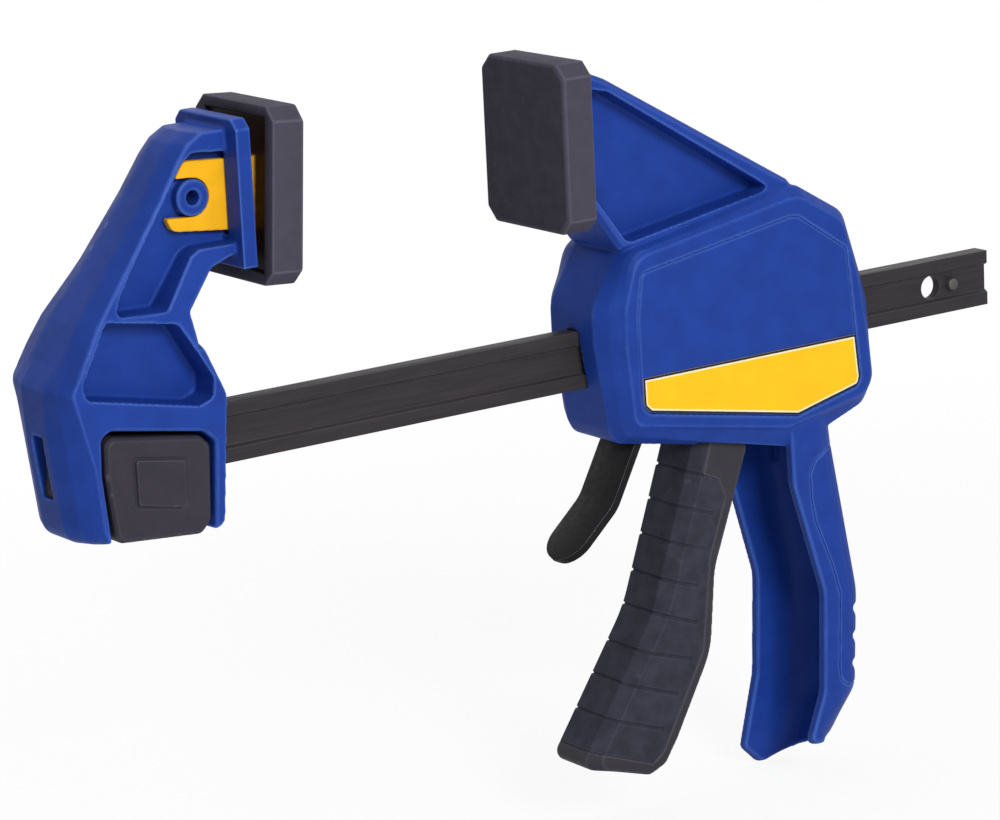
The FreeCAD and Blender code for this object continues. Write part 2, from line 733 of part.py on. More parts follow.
def handle_stations(inset):
    """Outlines of the handle across Y, set in by a wall, with a rounded back."""
    near = handle_points(handle_near_shares)
    far = handle_points(handle_far_shares)
    radius = handle_back_r - inset
    wide = handle_half_width - inset
    lanes = []
    for turn in handle_back_turns_deg:
        angle = math.radians(turn)
        lanes.append((wide - radius + radius * math.sin(angle), handle_back_r - radius * math.cos(angle)))
    stations = []
    for y, pull in [(-y, pull) for y, pull in reversed(lanes)] + lanes:
        share = (y + handle_half_width) / (2 * handle_half_width)
        points = between(near, far, share)
        stations.append((y, [(x - pull, z) if i >= handle_front_points else (x, z)
                             for i, (x, z) in enumerate(points)]))
    return stations


def handle_radii():
    return [share * handle_length for share in handle_radius_shares]


def handle_form(inset):
    return lofted(handle_stations(inset), handle_radii())


def channel_cutter():
    """The open inside of the handle, from its front edges to its back wall."""
    front_x = handle_x - handle_mouth
    z_low = handle_z - handle_length - overrun
    stations = []
    for y, points in handle_stations(handle_wall):
        back = points[handle_front_points:]
        stations.append((y, [(front_x, handle_z), (front_x, z_low), (back[0][0], z_low)] + back))
    radii = [edge_relief] * 3 + handle_radii()[handle_front_points:]
    return lofted(stations, radii)


def palm_region():
    """Everything behind the seam of the palm grip."""
    seam = handle_points(palm_seam_shares)
    reach = handle_x + handle_depth + overrun
    outline = seam + [(reach, seam[-1][1]), (reach, seam[0][1])]
    return slab(outline, palm_seam_r, -housing_half_width - overrun, housing_half_width + overrun)


def palm_scallop(height_share):
    """Round groove that follows the back of the handle at one height."""
    middle = between(handle_near_shares, handle_far_shares, 0.5)
    low, high = middle[handle_front_points + 1:handle_front_points + 3]
    back = between([high], [low], (height_share - high[1]) / (low[1] - high[1]))
    back_x, z = handle_points(back)[0]
    centre_x = back_x - handle_back_r
    flat = handle_half_width - handle_back_r
    reach = handle_back_r + palm_notch_r - palm_notch_depth
    side = []
    for share in (1.0, 0.5, 0.0):
        angle = math.radians(palm_notch_turn_deg) * share
        side.append((centre_x + reach * math.cos(angle), flat + reach * math.sin(angle)))
    near = [Vector(x, -y, z) for x, y in side]
    far = [Vector(x, y, z) for x, y in reversed(side)]
    path = Part.Wire([Part.Arc(*near).toShape(), Part.makeLine(near[-1], far[0]), Part.Arc(*far).toShape()])
    start_way = path.Edges[0].tangentAt(path.Edges[0].FirstParameter)
    ring = Part.Wire(Part.makeCircle(palm_notch_r, near[0], start_way))
    return path.makePipeShell([ring], True, False)


def make_palm_grip():
    """Soft cover let into the back and sides of the handle."""
    grip = handle_form(0.0).common(palm_region()).cut(handle_form(palm_thickness))
    for height_share in palm_notch_height_shares:
        grip = grip.cut(palm_scallop(height_share))
    return grip


def bottom_windows():
    """Openings below the housing for the lever and for the trigger."""
    z_low = window_reach_share * housing_height
    z_high = -half_bar - window_top_drop
    lever_low, lever_high = (nose_x + share * housing_length for share in lever_window_shares)
    lever_half = lever_half_width + window_clearance
    lever = block(lever_low, lever_high, -lever_half, lever_half, z_low, z_high)
    trigger_low = nose_x + trigger_window_share * housing_length
    trigger_high = handle_points(handle_near_shares[-1:])[0][0] - handle_wall + window_back_gap
    trigger_half = trigger_half_width + window_clearance
    trigger = block(trigger_low, trigger_high, -trigger_half, trigger_half, z_low, z_high)
    return lever.fuse(trigger)


def lever_notch():
    """Lug below the roof of the housing with a round notch for the lever's top."""
    x, z = lever_pivot()
    half_y = lever_half_width + window_clearance
    roof_back, roof_front = housing_points(cavity_shares[6:8])
    along = (x - roof_front[0]) / (roof_back[0] - roof_front[0])
    roof_z = roof_front[1] + (roof_back[1] - roof_front[1]) * along
    lug = block(x - lever_lug_half, x + lever_lug_half, -half_y, half_y,
                z - lever_lug_drop, roof_z + lever_roof_bite)
    round_r = lever_thickness / 2 + pin_clearance
    seat = rod_y(x, z, round_r, -overrun, overrun)
    low = z - lever_mouth_depth
    mouth = slab([(x - round_r, z), (x - lever_mouth_half, low), (x + lever_mouth_half, low),
                  (x + round_r, z)], fine_edge_r, -overrun, overrun)
    return lug.cut(seat).cut(mouth)


def brake_rib():
    """Cross wall that the brake spring stands against, down to the floor of the housing."""
    x = nose_x + brake_rib_share * housing_length
    half_y = housing_half_width - cover_thickness
    floor_z = min(z for _, z in housing_points(cavity_shares))
    return block(x, x + brake_rib_thickness, -half_y, half_y, floor_z - plate_rim, half_bar + plate_rim)


def make_jaw_body():
    handle = handle_form(0.0)
    body = make_housing_shell().fuse([make_arm(), handle])
    side = housing_half_width + overrun
    cavity = slab(housing_points(cavity_shares), panel_corner_r, -side, side)
    panel = slab(housing_points(panel_shares), panel_corner_r, housing_half_width - cover_thickness, side)
    body = body.cut(cavity).cut(panel).cut(flipped(panel))
    body = body.fuse([brake_rib().common(cavity), lever_notch()])
    body = body.cut(channel_cutter()).cut(bottom_windows())
    body = body.cut(handle.common(palm_region()).cut(handle_form(palm_thickness)))
    body = body.cut(bar_hole(nose_x - overrun, nose_x + housing_length + overrun, slide_clearance))
    return body.removeSplitter()


def make_cover():
    """Near side cover with a boss inside that holds one end of the trigger pin."""
    outer = -housing_half_width
    inner = outer + cover_thickness
    full = shrunk(housing_points(panel_shares), cover_gap)
    small = shrunk(full, cover_edge)
    cover = lofted([(outer, small), (outer + cover_edge, full), (inner, full)], panel_corner_r)
    boss = rod_y(pivot_x, pivot_z, fork_eye_r, inner, -fork_outer_half - slide_clearance)
    seat = rod_y(pivot_x, pivot_z, trigger_pin_r, outer + trigger_pin_inset, 0)
    return cover.fuse(boss).cut(seat)


def make_band():
    """Blank coloured band along the foot of the near cover."""
    outline = shrunk(housing_points(panel_shares), cover_gap + band_margin)
    top = band_top_share * housing_height
    left = min(x for x, z in outline) - overrun
    outer = -housing_half_width
    band = slab(outline, panel_corner_r, outer - band_thickness, outer)
    above = block(left, left + housing_length + 2 * overrun, outer - overrun, 0, top, top + housing_height)
    return band.cut(above)


def make_trigger_pin():
    reach = housing_half_width - trigger_pin_inset
    return rod_y(pivot_x, pivot_z, trigger_pin_r, -reach, reach)


# Trigger: a core with a fork round the bar, and a soft grip moulded on its front


def trigger_form(inset):
    """The whole trigger below its fork, with a bevel along both front edges."""
    front = [(x + inset, z) for x, z in pivot_points(trigger_front_shares)]
    back = pivot_points(trigger_back_shares)
    bevel = trigger_bevel - inset * (2 - math.sqrt(2))
    side = [(x + bevel, z) for x, z in front]
    wide = trigger_half_width - inset
    radii = [share * trigger_length for share in trigger_front_radius_shares + trigger_back_radius_shares]
    return lofted(mirrored([(wide - bevel, front + back), (wide, side + back)]), radii)


def grip_tongue():
    """Part of the core that the soft grip wraps."""
    return slab(pivot_points(tongue_shares), grip_tongue_r, -grip_tongue_half, grip_tongue_half)


def grip_space():
    """Front region of the trigger that the soft grip fills."""
    points = pivot_points(grip_reach_shares + grip_seam_shares)
    return slab(points, grip_seam_r, -trigger_half_width - overrun, trigger_half_width + overrun)


def make_fork():
    """Fork of the trigger that straddles the bar, with its eye and the nose that drives the plates."""
    wide = fork_outer_half
    fork = slab(pivot_points(fork_shares), fork_corner_r, -wide, wide)
    eye = rod_y(pivot_x, pivot_z, fork_eye_r, -wide, wide)
    nose = rod_y(pivot_x + fork_nose_reach, 0, fork_nose_r, -wide, wide)
    gap = block(pivot_x - trigger_length, pivot_x + trigger_length, -fork_inner_half, fork_inner_half,
                -half_bar - fork_bridge_drop, pivot_z + fork_eye_height)
    fork = fork.fuse([eye, nose]).cut(gap)
    return fork.cut(rod_y(pivot_x, pivot_z, trigger_pin_r + pin_clearance, -overrun, overrun))


def make_trigger_core():
    body = trigger_form(0.0).cut(grip_space().cut(grip_tongue()))
    return body.fuse(make_fork()).removeSplitter()


def make_trigger_grip():
    grip = trigger_form(0.0).common(grip_space()).cut(grip_tongue()).cut(make_fork())
    core = trigger_form(rib_depth)
    reach = trigger_half_width + overrun
    for share in rib_shares:
        (ax, az), (bx, bz) = pivot_points([share[:2], share[2:]])
        length = math.hypot(bx - ax, bz - az)
        ux, uz = (bx - ax) / length, (bz - az) / length
        ax, az = ax - ux * rib_lead, az - uz * rib_lead
        px, pz = -uz * rib_width / 2, ux * rib_width / 2
        corners = [(ax + px, az + pz), (ax - px, az - pz), (bx - px, bz - pz), (bx + px, bz + pz)]
        groove = slab(corners, rib_end_r, -reach, reach).fuse(rod_y(bx, bz, rib_dot_r, -reach, reach))
        grip = grip.cut(groove.cut(core))
    return grip


# Drive plates and springs round the bar


def plate_x(index):
    """Front face of a drive plate."""
    contact = pivot_x + fork_nose_reach + fork_nose_r + seat_clearance
    return contact + index * (plate_thickness + plate_gap)


def make_drive_plate(index):
    x = plate_x(index)
    half_z = half_bar + plate_rim
    plate = block(x, x + plate_thickness, -plate_half_width, plate_half_width, -half_z, half_z)
    along_bar = [edge for edge in plate.Edges if abs(edge.Length - plate_thickness) < fine_edge_r]
    plate = plate.makeFillet(plate_corner_r, along_bar)
    return plate.cut(bar_hole(x - overrun, x + overrun, slide_clearance))


def spring_mean_r():
    half_y, half_z = bar_section(0)
    return math.hypot(half_y, half_z) + spring_clearance + spring_wire / 2


def cavity_back_x():
    """Inner face of the rear wall, level with the bar."""
    low, high = housing_points(cavity_shares[3:5])
    return low[0] - (high[0] - low[0]) * low[1] / (high[1] - low[1])


def make_drive_spring():
    start = plate_x(1) + plate_thickness + spring_end_gap
    end = cavity_back_x() - spring_end_gap * 2
    return coil_spring(Vector(start, 0, 0), Vector(1, 0, 0), Vector(0, 1, 0), spring_mean_r(),
                       spring_wire, end - start, spring_turns)


def make_brake_spring():
    x, z = lever_pivot()
    lean = math.tan(math.radians(lever_tilt_deg))
    lever_back = x - (z - spring_mean_r()) * lean + lever_thickness / 2
    start = lever_back + brake_spring_gap - spring_end_gap
    end = nose_x + brake_rib_share * housing_length - spring_end_gap
    return coil_spring(Vector(start, 0, 0), Vector(1, 0, 0), Vector(0, 1, 0), spring_mean_r(),
                       brake_spring_wire, end - start, brake_spring_turns)


# Brake and release lever


def lever_pivot():
    x_share, z_share = lever_pivot_shares
    return nose_x + x_share * housing_length, z_share * housing_height


def strip_outline(path, half):
    """Both edges of a flat strip that follows a path, and the ends between them."""
    left, right = [], []
    last = len(path) - 1
    for i, (x, z) in enumerate(path):
        ax, az = path[max(i - 1, 0)]
        bx, bz = path[min(i + 1, last)]
        first = math.atan2(z - az, x - ax) if i > 0 else math.atan2(bz - z, bx - x)
        second = math.atan2(bz - z, bx - x) if i < last else first
        way = (first + second) / 2
        reach = half / math.cos((second - first) / 2)
        nx, nz = -math.sin(way) * reach, math.cos(way) * reach
        left.append((x + nx, z + nz))
        right.append((x - nx, z - nz))
    return left + right[::-1]


def lever_end_cutter(path):
    """Cutter that rounds the lever's lower end to a half circle."""
    (knee_x, knee_z), (tip_x, tip_z) = path[-2:]
    length = math.hypot(tip_x - knee_x, tip_z - knee_z)
    ux, uz = (tip_x - knee_x) / length, (tip_z - knee_z) / length
    centre = Vector(tip_x - ux * lever_half_width, 0, tip_z - uz * lever_half_width)
    across = Vector(-uz, 0, ux)
    disc = Part.makeCylinder(lever_half_width, overrun, centre - across * (overrun / 2), across)
    zone = Part.makeBox(overrun, 2 * overrun, overrun)
    turn = FreeCAD.Rotation(Vector(1, 0, 0), Vector(ux, 0, uz))
    zone.Placement = FreeCAD.Placement(centre + turn.multVec(Vector(0, -overrun, -overrun / 2)), turn)
    return zone.cut(disc)


def make_release_lever():
    """Brake plate round the bar that runs down into a bent finger lever."""
    top_x, top_z = lever_pivot()
    path = [(top_x, top_z)] + housing_points(lever_path_shares)
    half = lever_thickness / 2
    bends = [fine_edge_r, lever_knee_r] + [lever_bend_r] * (len(path) - 3) + [lever_end_r]
    strip = slab(strip_outline(path, half), bends + bends[::-1], -lever_half_width, lever_half_width)
    strip = strip.fuse(rod_y(top_x, top_z, half, -lever_half_width, lever_half_width))
    strip = strip.cut(lever_end_cutter(path))
    tilt = math.radians(lever_tilt_deg)
    tall = bar_height + 2 * slide_clearance + lever_thickness * math.sin(tilt)
    half_z = tall / math.cos(tilt) / 2
    half_y = bar_width / 2 + slide_clearance
    window = block(-overrun / 2, overrun / 2, -half_y, half_y, -half_z, half_z)
    window.rotate(Vector(0, 0, 0), Vector(0, 1, 0), lever_tilt_deg)
    window.translate(Vector(top_x - top_z * math.tan(tilt), 0, 0))
    return strip.cut(window).removeSplitter()


def main():
    cover = make_cover()
    band = make_band()
    nodes = {
        "bar": make_bar(),
        "stop_pin": make_stop_pin(),
        "fixed_jaw": make_fixed_jaw(),
        "release_button": make_button(),
        "latch_pin": make_latch_pin(),
        "button_spring": make_button_spring(),
        "pad_carrier": make_carrier(),
        "fixed_pad": make_fixed_pad(),
        "moving_pad": make_moving_pad(),
        "jaw_body": make_jaw_body(),
        "side_cover_near": cover,
        "side_cover_far": flipped(cover),
        "label_band_near": band,
        "label_band_far": flipped(band),
        "palm_grip": make_palm_grip(),
        "trigger_pin": make_trigger_pin(),
        "trigger_core": make_trigger_core(),
        "trigger_grip": make_trigger_grip(),
        "drive_plate_front": make_drive_plate(0),
        "drive_plate_rear": make_drive_plate(1),
        "drive_spring": make_drive_spring(),
        "release_lever": make_release_lever(),
        "brake_spring": make_brake_spring(),
    }
    os.makedirs("parts", exist_ok=True)
    for name, shape in nodes.items():
        print("%-18s valid %s solids %d volume %.0f box %s" % (
            name, shape.isValid(), len(shape.Solids), shape.Volume, box_text(shape)))
        shape.exportStep("parts/%s.step" % name)


def box_text(shape):
    b = shape.BoundBox
    return "%.1f..%.1f %.1f..%.1f %.1f..%.1f" % (b.XMin, b.XMax, b.YMin, b.YMax, b.ZMin, b.ZMax)


main()
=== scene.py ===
import math

import bmesh
import bpy
from mathutils import Matrix, Vector


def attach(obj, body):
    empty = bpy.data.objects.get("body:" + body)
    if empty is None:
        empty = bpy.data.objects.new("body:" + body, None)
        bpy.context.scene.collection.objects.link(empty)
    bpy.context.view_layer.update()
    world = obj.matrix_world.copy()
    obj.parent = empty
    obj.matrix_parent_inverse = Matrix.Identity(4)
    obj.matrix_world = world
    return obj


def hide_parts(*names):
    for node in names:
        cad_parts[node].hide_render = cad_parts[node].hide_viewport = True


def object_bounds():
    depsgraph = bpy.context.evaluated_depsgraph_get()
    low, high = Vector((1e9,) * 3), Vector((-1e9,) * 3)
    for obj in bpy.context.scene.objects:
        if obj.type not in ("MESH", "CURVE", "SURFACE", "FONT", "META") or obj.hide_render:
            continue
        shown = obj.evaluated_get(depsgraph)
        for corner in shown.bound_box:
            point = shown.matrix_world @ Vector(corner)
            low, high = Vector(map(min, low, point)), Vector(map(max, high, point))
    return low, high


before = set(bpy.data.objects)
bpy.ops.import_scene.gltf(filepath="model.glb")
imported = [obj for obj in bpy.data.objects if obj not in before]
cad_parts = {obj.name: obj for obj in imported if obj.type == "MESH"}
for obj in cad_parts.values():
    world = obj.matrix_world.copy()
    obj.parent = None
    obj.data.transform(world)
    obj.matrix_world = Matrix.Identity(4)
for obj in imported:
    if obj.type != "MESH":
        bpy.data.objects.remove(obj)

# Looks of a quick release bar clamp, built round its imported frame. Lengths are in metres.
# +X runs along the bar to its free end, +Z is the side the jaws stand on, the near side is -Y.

MM = 0.001
scene = bpy.context.scene
cad_low, cad_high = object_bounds()

# Camera of the photograph
camera_azimuth_deg = 34.63
camera_elevation_deg = 13.44
camera_roll_deg = -2.76
camera_place = (-0.9537, -1.1061, 0.3090)
lens_mm = 147.97
sensor_mm = 36.0

# Colours as they render under white light, in linear values
blue_nylon_colour = (0.012, 0.044, 0.268)
# Painted highlight colour laid on the convex edges of the blue nylon
blue_edge_highlight_colour = (0.062, 0.140, 0.500)
yellow_colour = (0.830, 0.420, 0.012)
film_colour = (0.900, 0.500, 0.012)
cream_colour = (0.780, 0.730, 0.470)
outline_colour = (0.020, 0.022, 0.030)
# Painted shadow on the back of the pad carrier's plate, which sits in shade behind the flange
plate_shadow_colour = (0.030, 0.012, 0.006)
rubber_colour = (0.035, 0.033, 0.046)
grip_colour = (0.036, 0.036, 0.052)
core_colour = (0.037, 0.035, 0.043)
button_colour = (0.034, 0.031, 0.042)
bar_colour = (0.034, 0.030, 0.034)
lever_colour = (0.009, 0.009, 0.010)
pin_colour = (0.110, 0.100, 0.100)
steel_colour = (0.560, 0.560, 0.580)

# Direction that the fixed jaw's pad faces, and where its plate begins along it; past that place the
# plate's colour is a painted shadow
pad_tilt = math.radians(4.2)
pad_normal = (math.cos(pad_tilt), 0.0, -math.sin(pad_tilt))
boss_place = (-0.3096, 0.0, 0.079)
plate_reach = 22.9 * MM
plate_edge = sum(a * b for a, b in zip(boss_place, pad_normal)) + plate_reach

# Sizes of what is added to the frame's pieces
band_outline_width = 0.75 * MM
band_cream_width = 0.60 * MM
band_border_rise = 0.06 * MM
bar_edge = 0.30 * MM
lever_edge = 0.45 * MM
pad_edge = 0.55 * MM
cover_growth = 0.24 * MM
button_travel = 4.25 * MM

# Ranges of the surface detail
mottle_range = (0.35, 0.65)
gloss_range = (0.3, 0.7)
# Painted edge highlights: the pointiness span over which convex edges are painted lighter, and how
# much lighter
edge_highlight_range = (0.506, 0.550)
edge_highlight_gain = 2.2
# Painted shadow on the carrier's plate fades in across this span around the plate's edge
shadow_before = 0.5 * MM
shadow_past = 0.2 * MM
along_bar = (0.06, 1.0, 1.0)
along_lever = (1.0, 0.5, 0.12)
no_direction = (1.0, 1.0, 1.0)

# Limits of the mesh work
merge_distance = 0.002 * MM
flat_tolerance = 0.01 * MM
flat_deg = 1.0
bevel_from_deg = 28.0
crease_from_deg = 24.0
least_bend = 0.3

# Stage and light
white = (1.0, 1.0, 1.0, 1.0)
floor_reach = 4.0
floor_gap = 0.5 * MM
floor_colour = (0.92, 0.92, 0.92)
floor_roughness = 0.9
floor_fade = (0.30, 0.65)
floor_whiteness = (0.90, 1.0)
world_light = 0.27
camera_reach = 20.0


# Materials


def start_material(name, colour, roughness, metallic=0.0, specular=0.10):
    """A material with a plain shader, and the tools to add detail to it."""
    material = bpy.data.materials.new(name)
    material.use_nodes = True
    tree = material.node_tree
    shader = tree.nodes["Principled BSDF"]
    shader.inputs["Base Color"].default_value = (*colour, 1.0)
    shader.inputs["Roughness"].default_value = roughness
    shader.inputs["Metallic"].default_value = metallic
    shader.inputs["Specular IOR Level"].default_value = specular
    return material, tree, shader


def place_node(tree, stretch=(1.0, 1.0, 1.0)):
    """Position on the piece, in metres, drawn out along an axis if asked."""
    coordinates = tree.nodes.new("ShaderNodeTexCoord")
    mapping = tree.nodes.new("ShaderNodeMapping")
    mapping.inputs["Scale"].default_value = stretch
    tree.links.new(coordinates.outputs["Object"], mapping.inputs["Vector"])
    return mapping.outputs["Vector"]


def noise_node(tree, place, size, detail=3.0):
    """Soft noise whose patches are about the given size."""
    noise = tree.nodes.new("ShaderNodeTexNoise")
    noise.inputs["Scale"].default_value = 1.0 / size
    noise.inputs["Detail"].default_value = detail
    tree.links.new(place, noise.inputs["Vector"])
    return noise.outputs["Fac"]


def spread_node(tree, value, span, result):
    """Maps a value from one range to another."""
    spread = tree.nodes.new("ShaderNodeMapRange")
    for name, limit in zip(("From Min", "From Max", "To Min", "To Max"), (*span, *result)):
        spread.inputs[name].default_value = limit
    tree.links.new(value, spread.inputs["Value"])
    return spread.outputs["Result"]


def mix_node(tree, share, first, second):
    """Mixes two colours. Each is a colour or another node's output."""
    mix = tree.nodes.new("ShaderNodeMix")
    mix.data_type = "RGBA"
    tree.links.new(share, mix.inputs["Factor"])
    for socket, colour in ((mix.inputs["A"], first), (mix.inputs["B"], second)):
        if isinstance(colour, tuple):
            socket.default_value = (*colour, 1.0)
        else:
            tree.links.new(colour, socket)
    return mix.outputs["Result"]


def shade(colour, factor):
    """The colour made darker or lighter."""
    return tuple(min(1.0, channel * factor) for channel in colour)


def mottled(tree, shader, place, colour, size, depth):
    """Slight patches of lighter and darker colour."""
    share = spread_node(tree, noise_node(tree, place, size), mottle_range, (0.0, 1.0))
    result = mix_node(tree, share, shade(colour, 1.0 - depth), shade(colour, 1.0 + depth))
    tree.links.new(result, shader.inputs["Base Color"])
    return result


def painted_edge_highlights(tree, shader, base, edge_highlight_colour, strength=0.8):
    """Painted highlights: convex edges are painted lighter, standing in for the light they catch."""
    geometry = tree.nodes.new("ShaderNodeNewGeometry")
    share = spread_node(tree, geometry.outputs["Pointiness"], edge_highlight_range, (0.0, strength))
    result = mix_node(tree, share, base, edge_highlight_colour)
    tree.links.new(result, shader.inputs["Base Color"])


def uneven_gloss(tree, shader, place, size, low, high):
    """Roughness that wanders between two values."""
    value = spread_node(tree, noise_node(tree, place, size), gloss_range, (low, high))
    tree.links.new(value, shader.inputs["Roughness"])


def grain(tree, shader, place, size, height):
    """Fine raised texture of the given size and height."""
    bump = tree.nodes.new("ShaderNodeBump")
    bump.inputs["Strength"].default_value = 1.0
    bump.inputs["Distance"].default_value = height
    tree.links.new(noise_node(tree, place, size, detail=2.0), bump.inputs["Height"])
    tree.links.new(bump.outputs["Normal"], shader.inputs["Normal"])


def moulded_plastic(name, colour, roughness, texture, edge_highlight_colour):
    """Nylon with a fine spark-eroded texture, faint mottling and painted highlights on its edges."""
    material, tree, shader = start_material(name, colour, roughness)
    place = place_node(tree)
    base = mottled(tree, shader, place, colour, size=9 * MM, depth=0.07)
    painted_edge_highlights(tree, shader, base, edge_highlight_colour)
    uneven_gloss(tree, shader, place, size=3 * MM, low=roughness - 0.05, high=roughness + 0.07)
    grain(tree, shader, place, size=texture, height=0.04 * MM)
    return material


def shaded_plate(name, colour, shadow, side, edge):
    """Moulded plastic with a painted shadow past a place along a direction, where the plate sits in
    shade.
    """
    material, tree, shader = start_material(name, colour, roughness=0.40)
    place = place_node(tree)
    base = mottled(tree, shader, place, colour, size=9 * MM, depth=0.05)
    along = tree.nodes.new("ShaderNodeVectorMath")
    along.operation = "DOT_PRODUCT"
    along.inputs[1].default_value = side
    tree.links.new(place, along.inputs[0])
    fade = (edge - shadow_before, edge + shadow_past)
    share = spread_node(tree, along.outputs["Value"], fade, (0.0, 1.0))
    tree.links.new(mix_node(tree, share, base, shadow), shader.inputs["Base Color"])
    uneven_gloss(tree, shader, place, size=3 * MM, low=0.36, high=0.48)
    grain(tree, shader, place, size=0.45 * MM, height=0.04 * MM)
    return material


def rubber(name, colour, roughness, texture, edge_highlight=0.8):
    """Matt elastomer with a slightly dusty, uneven surface and painted highlights on its edges."""
    material, tree, shader = start_material(name, colour, roughness, specular=0.05)
    place = place_node(tree)
    base = mottled(tree, shader, place, colour, size=6 * MM, depth=0.16)
    painted_edge_highlights(tree, shader, base, shade(colour, edge_highlight_gain), edge_highlight)
    uneven_gloss(tree, shader, place, size=2 * MM, low=roughness - 0.08, high=roughness + 0.08)
    grain(tree, shader, place, size=texture, height=0.05 * MM)
    return material


def drawn_steel(name, colour, roughness, metallic, lengthwise):
    """Steel with fine streaks along its length."""
    material, tree, shader = start_material(name, colour, roughness, metallic)
    place = place_node(tree, lengthwise)
    mottled(tree, shader, place, colour, size=1.6 * MM, depth=0.13)
    uneven_gloss(tree, shader, place, size=1.2 * MM, low=roughness - 0.10, high=roughness + 0.12)
    grain(tree, shader, place, size=0.8 * MM, height=0.03 * MM)
    return material


def printed_film(name, colour):
    """Satin film with a faint orange peel."""
    material, tree, shader = start_material(name, colour, roughness=0.38)
    place = place_node(tree)
    mottled(tree, shader, place, colour, size=12 * MM, depth=0.03)
    uneven_gloss(tree, shader, place, size=4 * MM, low=0.32, high=0.44)
    grain(tree, shader, place, size=1.1 * MM, height=0.01 * MM)
    return material


# Painted highlight colours for the convex edges of the dark nylon and the button
core_edge_highlight_colour = shade(core_colour, edge_highlight_gain)
button_edge_highlight_colour = shade(button_colour, edge_highlight_gain)
# Painted highlight colours for the cut edges of the pads, the bar and the lever
pad_edge_highlight_colour = shade(rubber_colour, 1.35)
bar_edge_highlight_colour = shade(bar_colour, 3.4)
lever_edge_highlight_colour = shade(lever_colour, 13.0)

# The nylon and rubber materials below carry painted highlights on their convex edges
blue_nylon = moulded_plastic("blue_nylon", blue_nylon_colour, 0.42, 0.45 * MM, blue_edge_highlight_colour)
blue_soft = moulded_plastic("blue_soft", blue_nylon_colour, 0.55, 0.35 * MM, blue_edge_highlight_colour)
# The pad carrier is yellow, with a painted shadow over the back of its plate
yellow_nylon = shaded_plate("yellow_nylon", yellow_colour, plate_shadow_colour, pad_normal, plate_edge)
dark_nylon = moulded_plastic("dark_nylon", core_colour, 0.45, 0.45 * MM, core_edge_highlight_colour)
button_nylon = moulded_plastic("button_nylon", button_colour, 0.50, 0.40 * MM, button_edge_highlight_colour)
pad_rubber = rubber("pad_rubber", rubber_colour, 0.62, 0.40 * MM)
# Painted highlight on the pads' cut edges
pad_edge_highlight_rubber = rubber("pad_edge_highlight_rubber", pad_edge_highlight_colour, 0.60, 0.40 * MM)
grip_rubber = rubber("grip_rubber", grip_colour, 0.58, 0.50 * MM, edge_highlight=0.35)
bar_steel = drawn_steel("bar_steel", bar_colour, 0.46, 0.10, along_bar)
# Painted highlight on the bar's cut edges
bar_edge_highlight_steel = drawn_steel("bar_edge_highlight_steel", bar_edge_highlight_colour, 0.40, 0.30, along_bar)
lever_steel = drawn_steel("lever_steel", lever_colour, 0.44, 0.10, along_lever)
# Painted highlight on the lever's cut edges
lever_edge_highlight_steel = drawn_steel("lever_edge_highlight_steel", lever_edge_highlight_colour, 0.38, 0.40, along_lever)
pin_steel = drawn_steel("pin_steel", pin_colour, 0.40, 0.50, no_direction)
bright_steel = drawn_steel("bright_steel", steel_colour, 0.32, 1.0, no_direction)
yellow_film = printed_film("yellow_film", film_colour)
cream_film = printed_film("cream_film", cream_colour)
outline_film = printed_film("outline_film", outline_colour)


# Shapes


def new_piece(name, mesh, body, slot, *materials):
    """A piece in the frame that rides on a body."""
    piece = bpy.data.objects.new(name, mesh)
    scene.collection.objects.link(piece)
    if mesh.materials:
        mesh.materials.clear()
    for material in materials:
        mesh.materials.append(material)
    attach(piece, body)
    return piece


def applied(piece):
    """The mesh of an object with its modifiers worked in."""
    graph = bpy.context.evaluated_depsgraph_get()
    return bpy.data.meshes.new_from_object(piece.evaluated_get(graph))


def node_mesh(node):
    """A copy of the node's own mesh."""
    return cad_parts[node].data.copy()


def moulded(node, voxel, soften, keep, body, slot, material, growth=0.0):
    """The node's own shape with its edges rounded as a mould leaves them."""
    mesh = node_mesh(node)
    if growth:
        widened(mesh, growth)
    work = bpy.data.objects.new("work", mesh)
    scene.collection.objects.link(work)
    skin = work.modifiers.new("skin", "REMESH")
    skin.mode = "VOXEL"
    skin.voxel_size = voxel
    round_off = work.modifiers.new("round_off", "SMOOTH")
    round_off.factor = 0.5
    round_off.iterations = soften
    thin = work.modifiers.new("thin", "DECIMATE")
    thin.ratio = keep
    mesh = applied(work)
    bpy.data.objects.remove(work)
    for polygon in mesh.polygons:
        polygon.use_smooth = True
    piece = new_piece(node + "_form", mesh, body, slot, material)
    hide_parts(node)


def widened(mesh, growth):
    """Draws a plate out along X and Z until it is larger by the growth all round."""
    for axis in (0, 2):
        places = [v.co[axis] for v in mesh.vertices]
        middle = (min(places) + max(places)) / 2
        factor = 1.0 + 2.0 * growth / (max(places) - min(places))
        for v in mesh.vertices:
            v.co[axis] = middle + (v.co[axis] - middle) * factor


